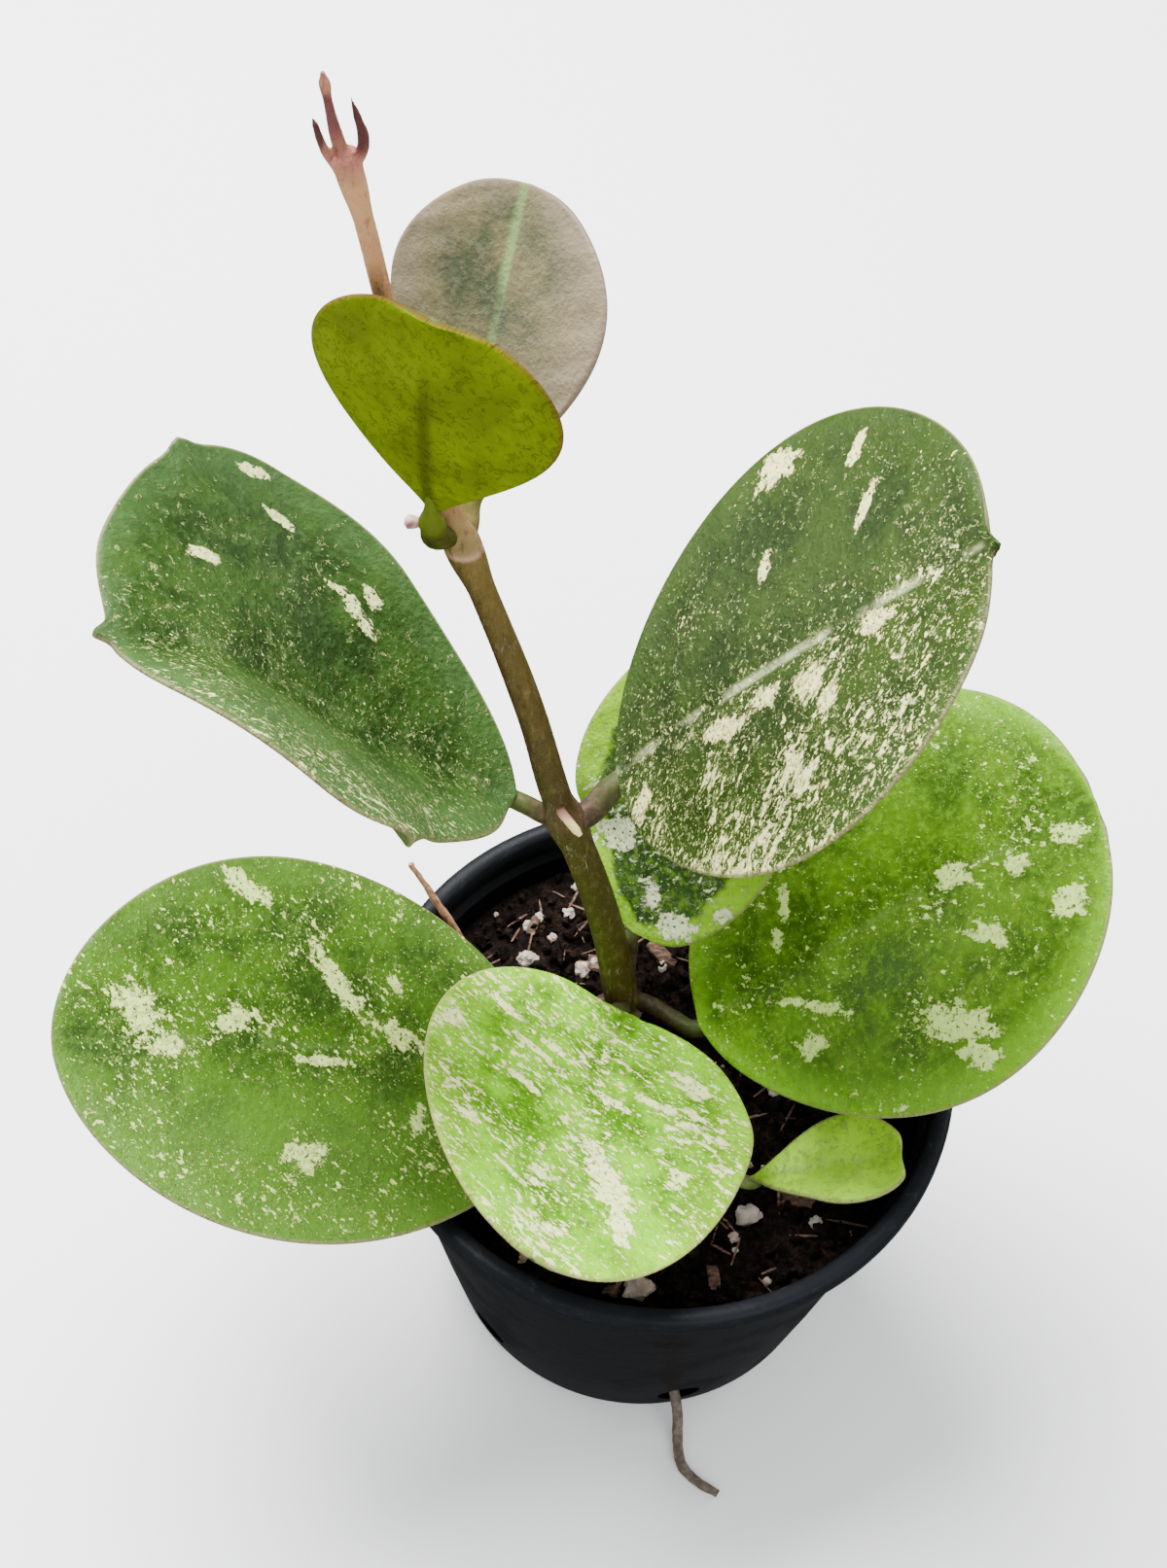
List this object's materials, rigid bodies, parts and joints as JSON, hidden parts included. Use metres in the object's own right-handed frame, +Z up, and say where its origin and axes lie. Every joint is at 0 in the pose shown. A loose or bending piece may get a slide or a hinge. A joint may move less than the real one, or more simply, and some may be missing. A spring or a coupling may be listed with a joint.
{
  "type": "potted hoya plant",
  "caption": "Young round-leaved climbing houseplant with thick speckled leaves on a leaning stem, in a round black nursery pot of soil.",
  "frame": {"origin": "centre of the flat bottom of the pot, where it stands on the table", "axes": "+Z up along the pot's axis; the viewer of the picture looks along +Y, with +X to the right; the stem leans towards -X"},
  "size_m": [0.1672, 0.1105, 0.2662],
  "materials": {
    "pot_plastic": "satin, near black",
    "soil": "rough dark peat with pale perlite and bark",
    "stem": "satin olive bark, tan and pink towards the tip",
    "leaf_dark": "waxy dark green with cream specks",
    "leaf_dark_splashed": "waxy green with dense cream splashes",
    "leaf_underside": "satin olive yellow underside",
    "leaf_mauve": "satin grey mauve with a pale green midrib",
    "leaf_mid_green": "glossy green with cream splashes",
    "leaf_bright_splashed": "glossy yellow green, densely splashed",
    "leaf_bright": "glossy yellow green with pale blotches",
    "leaf_two_green": "glossy, dark green centre and yellow green margin",
    "leaf_young": "glossy pale fresh green",
    "root_nub": "satin, pink with a pale yellow tip",
    "stalk_stub": "satin pinkish white",
    "root": "dull grey brown"
  },
  "bodies": {
    "root": {"pot": "pot_plastic", "soil": "soil", "main_stem": "stem", "leaf_upper_left": "leaf_dark", "leaf_upper_right": "leaf_dark_splashed", "leaf_top_front": "leaf_underside", "leaf_top_back": "leaf_mauve", "leaf_lower_left": "leaf_mid_green", "leaf_front": "leaf_bright_splashed", "leaf_lower_right": "leaf_bright", "leaf_back": "leaf_two_green", "leaf_young": "leaf_young", "aerial_root_nub": "root_nub", "flower_stalk_stub": "stalk_stub", "drain_root": "root"}
  },
  "joints": []
}
